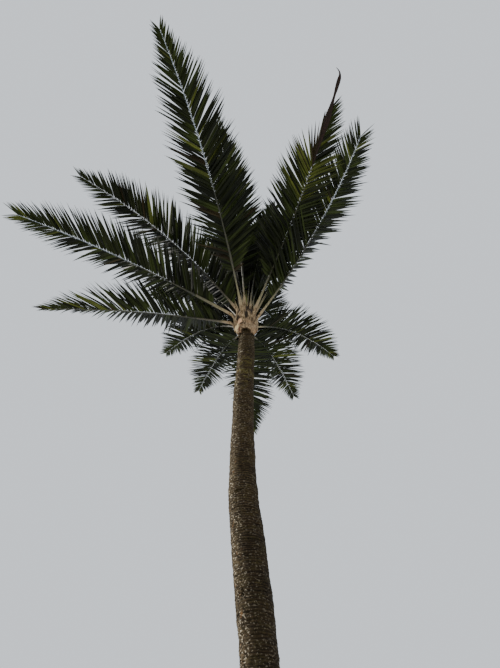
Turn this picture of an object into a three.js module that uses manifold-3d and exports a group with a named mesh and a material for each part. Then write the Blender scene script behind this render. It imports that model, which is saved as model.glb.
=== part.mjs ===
// A slender feather-leaved palm of the date-palm kind, as closed solids: a leaning trunk with a
// root flare, the crown head of leaf bases on its top, fronds with stiff leaflets, and the
// unopened spear leaf. Millimetres and degrees, +Z up, origin in the middle of the flat cut at
// ground level. The side that the crown leans its longest fronds over is -Y.
import * as THREE from "three";
import { mergeVertices } from "three/addons/utils/BufferGeometryUtils.js";
import Module from "manifold-3d";

// Trunk: height above the ground, lean of the middle line towards -X, and radius
const TRUNK_ROWS = [
  { height: 0, lean: 0, radius: 208 },
  { height: 150, lean: 2, radius: 164 },
  { height: 420, lean: 8, radius: 144 },
  { height: 1500, lean: 42, radius: 136 },
  { height: 2900, lean: 142, radius: 134 },
  { height: 3700, lean: 216, radius: 139 },
  { height: 4300, lean: 272, radius: 125 },
  { height: 5250, lean: 280, radius: 107 },
  { height: 5950, lean: 262, radius: 100 },
  { height: 6550, lean: 246, radius: 92 },
];
const TRUNK_SIDES = 18;
const TRUNK_STEPS = 44;

// Crown head: height above its own foot, and radius
const HEAD_ROWS = [
  { height: 0, radius: 132 },
  { height: 50, radius: 142 },
  { height: 140, radius: 150 },
  { height: 260, radius: 134 },
  { height: 380, radius: 104 },
  { height: 470, radius: 70 },
  { height: 520, radius: 34 },
];
const HEAD_CROWN = 535;
const HEAD_ASIDE = 14; // further towards -X than the trunk's top
const HEAD_SIDES = 30;
const HEAD_STEPS = 16;
const FLUTES = 5;
const FLUTE_DEPTH = 0.06;
const FLUTE_TURN = 240;

// Where pieces meet
const SEAT_GAP = 0.3;
const SEAT_DEPTH = 25;
const LEAFLET_CLEARANCE = 2;

// Fronds: turn is the heading about +Z from +X, rise the slope at the seat, droop what the slope
// loses by the tip, swing how far the heading turns by then, seat the height on the crown head,
// and folded the share at the tip where the leaflets still hug the rib.
const FRONDS = [
  { name: "frond_overhead", turn: -105, rise: 41, droop: 57, swing: -1.7, length: 3410, seat: 160 },
  { name: "frond_upper_left", turn: -152, rise: 48.6, droop: 46.6, swing: 4.8, length: 2950, seat: 350 },
  { name: "frond_far_left", turn: -164.4, rise: 27.1, droop: 30.2, swing: 10.4, length: 3130, seat: 260 },
  { name: "frond_level_left", turn: 167.4, rise: 27.4, droop: 26.5, swing: 11, length: 3020, seat: 210 },
  { name: "frond_half_open", turn: -54, rise: 46, droop: 28.5, swing: -21, length: 2990, seat: 200, folded: 0.3 },
  { name: "frond_upper_right", turn: -34, rise: 45, droop: 2, swing: -27, length: 3100, seat: 130 },
  { name: "frond_steep_front", turn: -100, rise: 75, droop: 47, swing: -8, length: 3000, seat: 360 },
  { name: "frond_back_left", turn: 126, rise: 51, droop: 36, swing: 2, length: 2800, seat: 215 },
  { name: "frond_back_mid_left", turn: 106, rise: 47, droop: 40, swing: 5, length: 3100, seat: 120 },
  { name: "frond_back", turn: 88, rise: 38, droop: 46, swing: 0, length: 3050, seat: 50 },
  { name: "frond_back_mid_right", turn: 75, rise: 46, droop: 42, swing: -5, length: 3100, seat: 120 },
  { name: "frond_back_right", turn: 52, rise: 49, droop: 38, swing: -3, length: 2700, seat: 220 },
  { name: "frond_high_left", turn: 148, rise: 68, droop: 50, swing: 4, length: 2600, seat: 320 },
  { name: "frond_high_back_left", turn: 117, rise: 70, droop: 56, swing: 4, length: 2950, seat: 330 },
  { name: "frond_high_back_right", turn: 74, rise: 70, droop: 52, swing: -4, length: 2850, seat: 330 },
  { name: "frond_young_right", turn: -15, rise: 90.5, droop: -4, swing: 0, length: 2200, seat: 300 },
  { name: "frond_young_front", turn: -60, rise: 84, droop: 34, swing: 4, length: 2050, seat: 320 },
  { name: "frond_young_left", turn: 174, rise: 84, droop: 32, swing: -8, length: 2350, seat: 400 },
  { name: "frond_young_back", turn: 92, rise: 81, droop: 42, swing: 8, length: 2600, seat: 420 },
];
const RIB_STEPS_FINE = 160;
const PETIOLE_SHARE = 0.16;
const PETIOLE_STEPS = 5;
const LEAFLET_PAIRS = 40;
const RIB_END_SHARE = 0.985;
const SEAT_WIDTH = 60;
const SEAT_THICKNESS = 34;
const RIB_WIDTH = 34;
const RIB_THICKNESS = 24;
const TIP_WIDTH = 7;
const TIP_THICKNESS = 6;
const LEAFLET_LENGTH = 600;
const YOUNG_LENGTH = 2850;
const ANGLE_AT_FOOT = 64;
const ANGLE_AT_TIP = 26;
const SLOW_LEAN = 0.68;
const FOLDED_ANGLE = 7;
const LIFT_AT_FOOT = 34;
const LIFT_AT_TIP = 9;
const SHORTER = [1, 0.75, 0.5, 0.32];

// The unopened leaf that stands in the middle of the crown
const SPEAR_LENGTH = 2300;
const SPEAR_RADIUS = 17;
const SPEAR_SIDES = 7;
const SPEAR_STEPS = 8;
const SPEAR_BEND = -70;

const COLOURS = { bark: 0x5b4f43, head: 0xb09a78, frond: 0x3c4a26, spear: 0x6f6a3c };

const wasm = await Module();
wasm.setup();

const rad = THREE.MathUtils.degToRad;
const mix = THREE.MathUtils.lerp;

// A repeatable stream of numbers from 0 to 1
function seededRandom(seed) {
  let state = seed;
  return () => {
    state = (Math.imul(state, 1664525) + 1013904223) >>> 0;
    return state / 4294967296;
  };
}

// A smooth value of rows[].key at a height, by cubic steps between the rows
function along(rows, key, height) {
  const last = rows.length - 1;
  const h = Math.min(Math.max(height, rows[0].height), rows[last].height);
  let k = 0;
  while (k < last - 1 && h > rows[k + 1].height) k += 1;
  const slope = (i) => {
    const a = rows[Math.max(i - 1, 0)];
    const b = rows[Math.min(i + 1, last)];
    return (b[key] - a[key]) / (b.height - a.height);
  };
  const span = rows[k + 1].height - rows[k].height;
  const t = (h - rows[k].height) / span;
  const t2 = t * t;
  const t3 = t2 * t;
  return (
    (2 * t3 - 3 * t2 + 1) * rows[k][key] +
    (t3 - 2 * t2 + t) * span * slope(k) +
    (3 * t2 - 2 * t3) * rows[k + 1][key] +
    (t3 - t2) * span * slope(k + 1)
  );
}

const top = TRUNK_ROWS[TRUNK_ROWS.length - 1];
const headFoot = new THREE.Vector3(-top.lean - HEAD_ASIDE, 0, top.height + SEAT_GAP);

function headRadius(angle, height) {
  const flute = Math.cos(FLUTES * angle + rad(FLUTE_TURN) * (height / HEAD_CROWN));
  return along(HEAD_ROWS, "radius", height) * (1 + FLUTE_DEPTH * flute);
}

// A three.js geometry as a closed solid, with its doubled corners merged
function solidOf(geometry) {
  const bare = new THREE.BufferGeometry();
  bare.setAttribute("position", geometry.getAttribute("position"));
  bare.setIndex(geometry.getIndex());
  const merged = mergeVertices(bare, 1e-3);
  const index = merged.getIndex().array;
  const corners = [];
  for (let i = 0; i < index.length; i += 3) {
    const [a, b, c] = [index[i], index[i + 1], index[i + 2]];
    if (a !== b && b !== c && c !== a) corners.push(a, b, c);
  }
  return new wasm.Manifold(
    new wasm.Mesh({
      numProp: 3,
      vertProperties: merged.getAttribute("position").array,
      triVerts: new Uint32Array(corners),
    }),
  );
}

function geometryOf(solid) {
  const mesh = solid.getMesh();
  const geometry = new THREE.BufferGeometry();
  geometry.setAttribute("position", new THREE.BufferAttribute(new Float32Array(mesh.vertProperties), 3));
  geometry.setIndex(new THREE.BufferAttribute(new Uint32Array(mesh.triVerts), 1));
  geometry.computeVertexNormals();
  return geometry;
}

function geometryFrom(points, faces) {
  const geometry = new THREE.BufferGeometry();
  const positions = points.flatMap((p) => [p.x, p.y, p.z]);
  geometry.setAttribute("position", new THREE.Float32BufferAttribute(positions, 3));
  geometry.setIndex(faces.flat());
  return geometry;
}

// The trunk is a cylinder whose rings are moved to the lean and the radius at their height.
function trunkGeometry() {
  const geometry = new THREE.CylinderGeometry(1, 1, top.height, TRUNK_SIDES, TRUNK_STEPS);
  geometry.rotateX(Math.PI / 2);
  geometry.translate(0, 0, top.height / 2);
  const place = geometry.getAttribute("position");
  for (let i = 0; i < place.count; i += 1) {
    const share = place.getZ(i) / top.height;
    const z = top.height * share ** 1.25;
    const r = along(TRUNK_ROWS, "radius", z);
    place.setXYZ(i, place.getX(i) * r - along(TRUNK_ROWS, "lean", z), place.getY(i) * r, z);
  }
  return geometry;
}

// The crown head is a lathed bulb with shallow flutes, where the leaf bases clasp each other.
// grow makes it larger all round, to cut the fronds' feet with.
function headGeometry(grow) {
  const profile = [new THREE.Vector2(0, -grow)];
  for (let i = 0; i <= HEAD_STEPS; i += 1) {
    const height = (HEAD_CROWN - 15) * (i / HEAD_STEPS);
    profile.push(new THREE.Vector2(1, height - (i === 0 ? grow : 0)));
  }
  profile.push(new THREE.Vector2(0, HEAD_CROWN + grow));
  const geometry = new THREE.LatheGeometry(profile, HEAD_SIDES);
  geometry.rotateX(Math.PI / 2);
  const place = geometry.getAttribute("position");
  for (let i = 0; i < place.count; i += 1) {
    const x = place.getX(i);
    const y = place.getY(i);
    const z = place.getZ(i);
    const out = Math.hypot(x, y);
    if (out > 0.5) {
      const r = (headRadius(Math.atan2(y, x), z) + grow) / out;
      place.setXY(i, x * r, y * r);
    }
  }
  geometry.translate(headFoot.x, headFoot.y, headFoot.z);
  return geometry;
}

// The frond's middle line: RIB_STEPS_FINE short straight steps that lose slope and turn as they go
function ribLine(frond) {
  const angle = rad(frond.turn);
  const r = along(HEAD_ROWS, "radius", frond.seat) - SEAT_DEPTH;
  const at = new THREE.Vector3(r * Math.cos(angle), r * Math.sin(angle), frond.seat).add(headFoot);
  const line = [at.clone()];
  for (let i = 0; i < RIB_STEPS_FINE; i += 1) {
    const share = (i + 0.5) / RIB_STEPS_FINE;
    const slope = rad(frond.rise - frond.droop * share ** 1.3);
    const heading = rad(frond.turn + frond.swing * share);
    const step = new THREE.Vector3(
      Math.cos(slope) * Math.cos(heading),
      Math.cos(slope) * Math.sin(heading),
      Math.sin(slope),
    );
    at.addScaledVector(step, frond.length / RIB_STEPS_FINE);
    line.push(at.clone());
  }
  return line;
}

// Place and axes at a share of the rib: ahead, to the left side, and up out of the blade
function ribFrame(frond, line, share) {
  const slope = rad(frond.rise - frond.droop * share ** 1.3);
  const heading = rad(frond.turn + frond.swing * share);
  const ahead = new THREE.Vector3(
    Math.cos(slope) * Math.cos(heading),
    Math.cos(slope) * Math.sin(heading),
    Math.sin(slope),
  );
  const side = new THREE.Vector3(-Math.sin(heading), Math.cos(heading), 0);
  const up = new THREE.Vector3().crossVectors(ahead, side);
  const f = share * RIB_STEPS_FINE;
  const k = Math.min(Math.floor(f), RIB_STEPS_FINE - 1);
  const at = new THREE.Vector3().lerpVectors(line[k], line[k + 1], f - k);
  return { at, ahead, side, up };
}

// Width and thickness of the rib: wide at its seat, then a slow taper to the tip
function ribSize(frond, share) {
  const young = Math.min(frond.length / YOUNG_LENGTH, 1);
  const foot = Math.exp(-share / 0.045);
  return {
    width: (mix(RIB_WIDTH, TIP_WIDTH, share) + (SEAT_WIDTH - RIB_WIDTH) * foot) * young,
    thickness: (mix(RIB_THICKNESS, TIP_THICKNESS, share) + (SEAT_THICKNESS - RIB_THICKNESS) * foot) * young,
  };
}

// Leaflets are longest a third of the way out, two thirds as long at the foot, and short at the tip.
function leafletLength(frond, t) {
  const young = Math.min(frond.length / YOUNG_LENGTH, 1);
  return LEAFLET_LENGTH * young * Math.sin(Math.PI * (0.22 + 0.64 * t ** 0.84));
}

// Leaflets lean ahead a little more the further out they are, and close in quickly at the tip.
// A half-open frond's right side is folded further down from the tip than its left.
function leafletAngle(frond, t, sign) {
  const folded = (frond.folded ?? 0) * (sign > 0 ? 0.15 : 1);
  const close = folded ? THREE.MathUtils.smoothstep(t, 1 - folded * 1.3, 1 - folded) : 0;
  const lean = SLOW_LEAN * t ** 0.75 + (1 - SLOW_LEAN) * t ** 8;
  return rad(mix(mix(ANGLE_AT_FOOT, ANGLE_AT_TIP, lean), FOLDED_ANGLE, close));
}

// Three corners of the rib at each station: the keel, the left edge and the right edge
function frondRings(frond) {
  const line = ribLine(frond);
  const shares = [];
  for (let i = 0; i < PETIOLE_STEPS; i += 1) shares.push((PETIOLE_SHARE * i) / PETIOLE_STEPS);
  for (let i = 0; i <= LEAFLET_PAIRS; i += 1) {
    shares.push(mix(PETIOLE_SHARE, RIB_END_SHARE, i / LEAFLET_PAIRS));
  }
  return shares.map((share) => {
    const { at, ahead, side, up } = ribFrame(frond, line, share);
    const { width, thickness } = ribSize(frond, share);
    const keel = at.clone().addScaledVector(up, -thickness * 0.6);
    const left = at.clone().addScaledVector(up, thickness * 0.4).addScaledVector(side, width / 2);
    const right = at.clone().addScaledVector(up, thickness * 0.4).addScaledVector(side, -width / 2);
    return { share, at, ahead, side, up, corners: [keel, left, right] };
  });
}

// The tip of leaflet i of a frond, on side +1 (left) or -1 (right)
function leafletTip(frond, rings, i, sign, jitter) {
  const [from, to] = [rings[PETIOLE_STEPS + i], rings[PETIOLE_STEPS + i + 1]];
  const t = (i + 0.5) / LEAFLET_PAIRS;
  const angle = leafletAngle(frond, t, sign) + rad(jitter.angle);
  const lift = rad(mix(LIFT_AT_FOOT, LIFT_AT_TIP, t) + jitter.lift);
  const reach = leafletLength(frond, t) * jitter.length;
  const across = new THREE.Vector3()
    .addScaledVector(from.side, sign * Math.cos(lift))
    .addScaledVector(from.up, Math.sin(lift));
  return new THREE.Vector3()
    .addVectors(from.at, to.at)
    .multiplyScalar(0.5)
    .addScaledVector(from.ahead, reach * Math.cos(angle))
    .addScaledVector(across, reach * Math.sin(angle));
}

// A rib with its leaflets as one skin. tips[side][i] is a leaflet's tip, or nothing where the
// leaflet is left out; the skin then stays flat there.
function frondSkin(rings, tips) {
  const points = rings.flatMap((ring) => ring.corners);
  const faces = [[0, 2, 1]];
  for (let i = 0; i < rings.length - 1; i += 1) {
    for (let k = 0; k < 3; k += 1) {
      const a = 3 * i + k;
      const b = 3 * i + ((k + 1) % 3);
      const tip = k === 1 ? undefined : tips[k === 0 ? "left" : "right"][i - PETIOLE_STEPS];
      if (tip) {
        const t = points.push(tip) - 1;
        faces.push([a, b, t], [b, b + 3, t], [b + 3, a + 3, t], [a + 3, a, t]);
      } else {
        faces.push([a, b, b + 3], [a, b + 3, a + 3]);
      }
    }
  }
  const end = 3 * (rings.length - 1);
  faces.push([end, end + 1, end + 2]);
  return geometryFrom(points, faces);
}

// One leaflet alone, to test where it would pass
function leafletSolid(rings, i, sign, tip) {
  const [from, to] = [rings[PETIOLE_STEPS + i].corners, rings[PETIOLE_STEPS + i + 1].corners];
  const k = sign > 0 ? [0, 1] : [2, 0];
  const points = [from[k[0]], from[k[1]], to[k[1]], to[k[0]], tip];
  const faces = [[0, 1, 4], [1, 2, 4], [2, 3, 4], [3, 0, 4], [2, 1, 0], [3, 2, 0]];
  return solidOf(geometryFrom(points, faces));
}

function boxesNear(a, b, gap) {
  return [0, 1, 2].every((k) => a.min[k] - gap < b.max[k] && b.min[k] - gap < a.max[k]);
}

function isClear(solid, others) {
  const box = solid.boundingBox();
  return others.every(
    (other) =>
      !boxesNear(box, other.box, LEAFLET_CLEARANCE) ||
      solid.minGap(other.solid, LEAFLET_CLEARANCE) >= LEAFLET_CLEARANCE,
  );
}

function placed(solid, owner) {
  return { solid, owner, box: solid.boundingBox() };
}

// Fronds keep to their own space: a leaflet that would touch another frond is made shorter, and
// left out where even its shortest form would.
function growFronds(spear) {
  const grown = FRONDS.map((frond) => ({ frond, rings: frondRings(frond), tips: { left: [], right: [] } }));
  const taken = grown.map((g) => placed(solidOf(frondSkin(g.rings, g.tips)), g.frond));
  taken.push(placed(spear, null));
  grown.forEach((g, order) => {
    const random = seededRandom(order + 11);
    for (let i = 0; i < LEAFLET_PAIRS; i += 1) {
      for (const [name, sign] of [["left", 1], ["right", -1]]) {
        const jitter = { angle: 6 * random() - 3, lift: 8 * random() - 4, length: 0.9 + 0.2 * random() };
        for (const shorter of SHORTER) {
          const tip = leafletTip(g.frond, g.rings, i, sign, { ...jitter, length: jitter.length * shorter });
          const leaflet = leafletSolid(g.rings, i, sign, tip);
          if (isClear(leaflet, taken.filter((other) => other.owner !== g.frond))) {
            g.tips[name][i] = tip;
            taken.push(placed(leaflet, g.frond));
            break;
          }
        }
      }
    }
  });
  return grown;
}

// The unopened leaf: a long slim cone that leans a little towards its tip
function spearGeometry() {
  const geometry = new THREE.CylinderGeometry(2, SPEAR_RADIUS, SPEAR_LENGTH, SPEAR_SIDES, SPEAR_STEPS);
  geometry.rotateX(Math.PI / 2);
  geometry.translate(0, 0, SPEAR_LENGTH / 2);
  const place = geometry.getAttribute("position");
  for (let i = 0; i < place.count; i += 1) {
    const bend = SPEAR_BEND * (place.getZ(i) / SPEAR_LENGTH) ** 2;
    place.setX(i, place.getX(i) + bend);
  }
  geometry.translate(headFoot.x, headFoot.y, headFoot.z + HEAD_CROWN - SEAT_DEPTH);
  return geometry;
}

function meshOf(name, solid, colour) {
  const material = new THREE.MeshStandardMaterial({ color: colour, roughness: 0.8, metalness: 0 });
  const mesh = new THREE.Mesh(geometryOf(solid), material);
  mesh.name = name;
  return mesh;
}

const palm = new THREE.Group();
const cutter = solidOf(headGeometry(SEAT_GAP));
const spear = solidOf(spearGeometry()).subtract(cutter);
palm.add(meshOf("trunk", solidOf(trunkGeometry()), COLOURS.bark));
palm.add(meshOf("crown_head", solidOf(headGeometry(0)), COLOURS.head));
palm.add(meshOf("spear_leaf", spear, COLOURS.spear));
for (const { frond, rings, tips } of growFronds(spear)) {
  palm.add(meshOf(frond.name, solidOf(frondSkin(rings, tips)).subtract(cutter), COLOURS.frond));
}

export default palm;
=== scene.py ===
import math

import bmesh
import bpy
import numpy as np
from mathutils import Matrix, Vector


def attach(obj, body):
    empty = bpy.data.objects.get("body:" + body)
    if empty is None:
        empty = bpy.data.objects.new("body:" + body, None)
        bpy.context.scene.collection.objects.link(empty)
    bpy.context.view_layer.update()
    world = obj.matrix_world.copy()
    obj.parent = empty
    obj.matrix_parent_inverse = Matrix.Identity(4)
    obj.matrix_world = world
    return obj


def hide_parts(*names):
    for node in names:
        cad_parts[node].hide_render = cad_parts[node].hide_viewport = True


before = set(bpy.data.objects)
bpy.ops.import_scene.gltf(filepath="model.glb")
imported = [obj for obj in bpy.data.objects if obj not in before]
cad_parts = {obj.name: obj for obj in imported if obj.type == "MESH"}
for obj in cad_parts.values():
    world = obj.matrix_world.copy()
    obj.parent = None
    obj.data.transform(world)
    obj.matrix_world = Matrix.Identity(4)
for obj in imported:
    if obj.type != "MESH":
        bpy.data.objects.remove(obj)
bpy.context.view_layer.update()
rng = np.random.default_rng(41)
upward = np.array([0, 0, 1.0])


# small helpers for numbers
def along(heights, values, at):
    # the same cubic steps between rows as the solids have
    xs, ys = np.array(heights, float), np.array(values, float)
    before, after = np.r_[xs[:1], xs[:-1]], np.r_[xs[1:], xs[-1:]]
    low, high = np.r_[ys[:1], ys[:-1]], np.r_[ys[1:], ys[-1:]]
    slopes = (high - low) / (after - before)
    h = np.clip(at, xs[0], xs[-1])
    k = np.clip(np.searchsorted(xs, h, side="left") - 1, 0, len(xs) - 2)
    span = xs[k + 1] - xs[k]
    t = (h - xs[k]) / span
    return (
        (2 * t**3 - 3 * t**2 + 1) * ys[k]
        + (t**3 - 2 * t**2 + t) * span * slopes[k]
        + (3 * t**2 - 2 * t**3) * ys[k + 1]
        + (t**3 - t**2) * span * slopes[k + 1]
    )


def mix(a, b, t):
    return a + (b - a) * t


def smooth(x, low, high):
    t = np.clip((x - low) / (high - low), 0, 1)
    return t * t * (3 - 2 * t)


def unit(v):
    return v / np.linalg.norm(v, axis=-1, keepdims=True)


def softNoise(across, up, cellsAcross, cellsUp):
    # smooth noise from -1 to 1 that wraps round where across passes 1
    grid = rng.uniform(-1, 1, (cellsUp + 2, cellsAcross))
    x, y = (across % 1) * cellsAcross, np.clip(up, 0, 1) * cellsUp
    i, j = np.floor(x).astype(int), np.floor(y).astype(int)
    fx, fy = smooth(x - i, 0, 1), smooth(y - j, 0, 1)
    i, iNext = i % cellsAcross, (i + 1) % cellsAcross
    lower = grid[j, i] * (1 - fx) + grid[j, iNext] * fx
    upper = grid[j + 1, i] * (1 - fx) + grid[j + 1, iNext] * fx
    return lower * (1 - fy) + upper * fy


def waves(across, up, layers):
    # soft noises added up: size, cells across and cells up of each
    return sum(size * softNoise(across, up, *cells) for size, *cells in layers)


def awayFrom(angle, degrees):
    # the angle from a direction, between minus and plus half a turn
    return (angle - math.radians(degrees) + np.pi) % (2 * np.pi) - np.pi


def dented(radius, angle, z, dents, skin=1):
    # a surface with dents: angle, height, half width, half height and depth of each
    for turn, height, halfWide, halfTall, depth in dents:
        far = (awayFrom(angle, turn) * radius / halfWide) ** 2 + ((z - height) / halfTall) ** 2
        radius = radius - skin * depth * np.exp(-(far**1.5))
    return radius


# small helpers for meshes
def addObject(name, data):
    made = bpy.data.objects.new(name, data)
    bpy.context.scene.collection.objects.link(made)
    return made


def addTube(bm, rings):
    # rings[row, column] are points round a closed tube, counted the same way in each row
    rows, columns = rings.shape[:2]
    made = bmesh.ops.create_grid(bm, x_segments=columns, y_segments=rows - 1, size=1, calc_uvs=True)
    for vert in made["verts"]:
        column = round((vert.co.x + 1) / 2 * columns) % columns
        row = round((vert.co.y + 1) / 2 * (rows - 1))
        vert.co = rings[row, column]
    bmesh.ops.remove_doubles(bm, verts=made["verts"], dist=1e-7)
    verts = [v for v in made["verts"] if v.is_valid]
    edges = {e for v in verts for e in v.link_edges if e.is_boundary}
    bmesh.ops.holes_fill(bm, edges=list(edges), sides=0)


def tubesPiece(name, tubes):
    bm = bmesh.new()
    bm.loops.layers.uv.new("along")
    for rings in tubes:
        addTube(bm, rings)
    bmesh.ops.recalc_face_normals(bm, faces=bm.faces)
    for face in bm.faces:
        face.smooth = len(face.verts) < 5  # the ends stay flat
    mesh = bpy.data.meshes.new(name)
    bm.to_mesh(mesh)
    bm.free()
    return addObject(name, mesh)


# materials: a socket that sums and products can be written with
class Wire:
    def __init__(self, tree, socket=None):
        self.tree = tree
        self.socket = socket

    def node(self, kind, settings=None, sockets=None, out=0):
        made = self.tree.nodes.new("ShaderNode" + kind)
        for name, value in (settings or {}).items():
            setattr(made, name, value)
        for name, value in (sockets or {}).items():
            if isinstance(value, Wire):
                self.tree.links.new(value.socket, made.inputs[name])
            else:
                made.inputs[name].default_value = value
        return Wire(self.tree, made.outputs[out])

    def maths(self, operation, *values):
        return self.node("Math", {"operation": operation}, dict(enumerate(values)))

    def __add__(self, other):
        return self.maths("ADD", self, other)

    def __radd__(self, other):
        return self.maths("ADD", other, self)

    def __sub__(self, other):
        return self.maths("SUBTRACT", self, other)

    def __rsub__(self, other):
        return self.maths("SUBTRACT", other, self)

    def __mul__(self, other):
        return self.maths("MULTIPLY", self, other)

    def __rmul__(self, other):
        return self.maths("MULTIPLY", other, self)

    def circle(self):
        # 1 at both ends of a turn counted from 0 to 1, and -1 half way
        return self.maths("COSINE", self * (2 * math.pi))

    def step(self, low, high):
        # 0 below low and 1 above high, smooth between; the other way round where low is above high
        sockets = {"Value": self, "From Min": low, "From Max": high}
        if low > high:
            sockets = {"Value": self, "From Min": high, "From Max": low, "To Min": 1.0, "To Max": 0.0}
        return self.node("MapRange", {"interpolation_type": "SMOOTHSTEP"}, sockets)

    def blend(self, a, b):
        # the colour a where this is 0, b where it is 1; the node's colours are its sockets 6 and 7
        a = (*a, 1) if isinstance(a, tuple) else a
        b = (*b, 1) if isinstance(b, tuple) else b
        return self.node("Mix", {"data_type": "RGBA"}, {0: self, 6: a, 7: b}, out=2)

    def place(self):
        # Object coordinates
        return self.node("TexCoord", out=3)

    def mapped(self, scale, location=(0, 0, 0)):
        sockets = {"Vector": self.place(), "Location": location, "Scale": scale}
        return self.node("Mapping", {"vector_type": "POINT"}, sockets)

    def tubePlace(self):
        # how far round a tube and how far along it, both 0 to 1
        split = self.node("SeparateXYZ", {}, {"Vector": self.node("UVMap", {"uv_map": "along"})})
        return split, Wire(self.tree, split.socket.node.outputs[1])

    def spot(self, centre, reach):
        # 0 at the centre, 1 where the spot ends
        location = tuple(-c / r for c, r in zip(centre, reach))
        place = self.mapped(tuple(1 / r for r in reach), location)
        return self.node("VectorMath", {"operation": "LENGTH"}, {"Vector": place}, out=1)

    def noise(self, scale, detail=3.0, stretch=(1, 1, 1), rough=0.55):
        sockets = {"Vector": self.mapped(stretch), "Scale": scale, "Detail": detail, "Roughness": rough}
        return self.node("TexNoise", {}, sockets)

    def bump(self, strength, distance):
        return self.node("Bump", {}, {"Height": self, "Strength": strength, "Distance": distance})


def look(name, paint):
    material = bpy.data.materials.new(name)
    material.use_nodes = True
    shader = material.node_tree.nodes["Principled BSDF"]
    w = Wire(material.node_tree)
    for socket, value in paint(w).items():
        if isinstance(value, Wire):
            material.node_tree.links.new(value.socket, shader.inputs[socket])
        else:
            shader.inputs[socket].default_value = value
    return material


def finishPiece(piece, material, slot, *nodes):
    piece.data.materials.append(material)
    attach(piece, "root")
    if nodes:
        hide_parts(*nodes)
    triangles = sum(len(p.vertices) - 2 for p in piece.data.polygons)
    print("piece", piece.name, triangles, "triangles")


# camera, where the photograph was taken from
shot = {"place": (-0.21, -3.84, 1.6), "pitch": 52, "focal": 510, "pictureHeight": 668, "sensor": 36}

cameraData = bpy.data.cameras.new("photoCamera")
cameraData.sensor_width = shot["sensor"]
cameraData.lens = shot["sensor"] * shot["focal"] / shot["pictureHeight"]
camera = addObject("photoCamera", cameraData)
camera.location = shot["place"]
camera.rotation_euler = (math.radians(90 + shot["pitch"]), 0, 0)
bpy.context.scene.camera = camera
print("stage camera done")

# trunk
trunk = {
    "heights": (0, 0.15, 0.42, 1.5, 2.9, 3.7, 4.3, 5.25, 5.95, 6.55),
    "leans": (0, 0.002, 0.008, 0.042, 0.142, 0.216, 0.272, 0.28, 0.262, 0.246),
    "radii": (0.208, 0.164, 0.144, 0.136, 0.134, 0.139, 0.125, 0.107, 0.1, 0.092),
    "top": 6.64,  # runs on inside the collar
    "columns": 84,
    "calmFoot": 0.2,  # the relief fades out this close to the ground
    "calmTop": 0.05,
    "rings": 290,
    "ringSpread": (0.72, 1.28),  # the lowest and the tallest, against the mean
    "ringProfile": (-1.0, 0.5, 1.0, 0.55),  # from one groove up to the next
    "ringRelief": 0.002,
    "deepRing": 6,  # each sixth groove or so is deeper
    "deepCut": 0.006,
    # soft waves: size, cells round the trunk, cells up it
    "ringSway": ((0.009, 3, 34), (0.004, 9, 150)),
    "lumps": ((0.0045, 5, 46), (0.0022, 17, 190)),
    "grain": ((0.0016, 48, 400),),
    # old leaf-base scars run round the trunk in two slanting rows: slant, cells round, cells up
    "scarRows": ((9, 15, 150), (-7, 13, 130)),
    "scarRelief": 0.0032,
    "crackCells": (44, 150),
    "crackLevel": 0.35,
    "crackDepth": 0.012,
    "roots": 7,
    "rootRelief": 0.007,
    "rootDip": 0.006,
    "rootHeight": 0.12,
    # dark pits: angle round the trunk, height, half width, half height, depth
    "pits": (
        (-109, 4.2, 0.036, 0.012, 0.02),
        (-122, 4.1, 0.012, 0.022, 0.016),
        (-52, 3.9, 0.022, 0.02, 0.016),
        (-126, 3.35, 0.014, 0.03, 0.024),
        (60, 2.6, 0.02, 0.016, 0.018),
        (150, 4.9, 0.02, 0.014, 0.016),
        (95, 1.35, 0.03, 0.014, 0.018),
        (-20, 1.1, 0.014, 0.03, 0.018),
    ),
}
bark = {
    "shade": (0.008, 0.0052, 0.0026),
    "brown": (0.027, 0.0172, 0.0076),
    "worn": (0.038, 0.0245, 0.0105),
    "lowerShade": (0.0055, 0.0036, 0.002),  # painted shade on the lower trunk
    "ridge": (0.09, 0.062, 0.028),
    "groove": (0.004, 0.003, 0.0018),
    "moss": (0.105, 0.092, 0.022),
    "lichen": (0.5, 0.44, 0.33),
    "crust": (0.2, 0.15, 0.085),
    "rust": (0.17, 0.085, 0.032),
    "specular": 0.1,
    "bump": (0.9, 0.006),
}


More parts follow.
